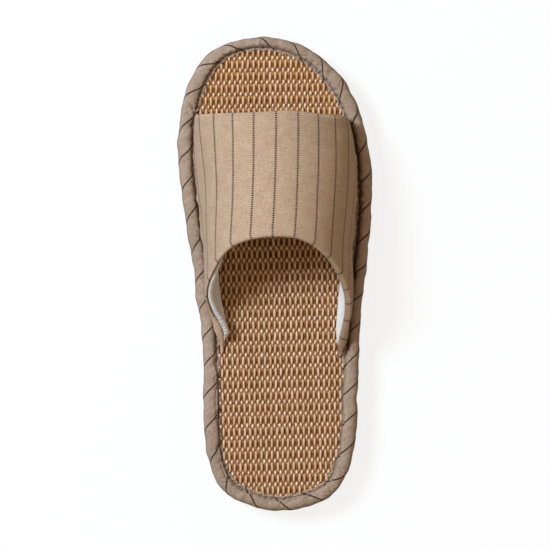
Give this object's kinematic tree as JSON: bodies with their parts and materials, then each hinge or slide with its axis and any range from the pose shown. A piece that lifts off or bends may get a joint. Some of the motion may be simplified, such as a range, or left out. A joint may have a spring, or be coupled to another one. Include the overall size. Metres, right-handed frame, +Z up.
{
  "type": "open-toe slipper",
  "caption": "Open-toe house slipper for the right foot: flat foam sole, padded straw-mat footbed with a rolled cloth edge, and an arched padded cloth upper open at toe and heel.",
  "frame": {"origin": "on the floor under the middle of the slipper's length and width", "axes": "+Y from heel to toe, +X to the little-toe side, +Z up"},
  "size_m": [0.1087, 0.2649, 0.0617],
  "materials": {
    "foam_sole": "plain foam sheet, matt",
    "straw_mat": "woven paper-straw strands with dark gaps",
    "striped_cloth": "plain-woven cotton and linen cloth with thin dark pinstripes, matt",
    "lining_cloth": "pale woven lining, matt"
  },
  "bodies": {
    "root": {"outsole": "foam_sole", "insole": "straw_mat", "rolled_edge": "striped_cloth", "upper": "striped_cloth", "throat_tape": "striped_cloth"}
  },
  "joints": []
}
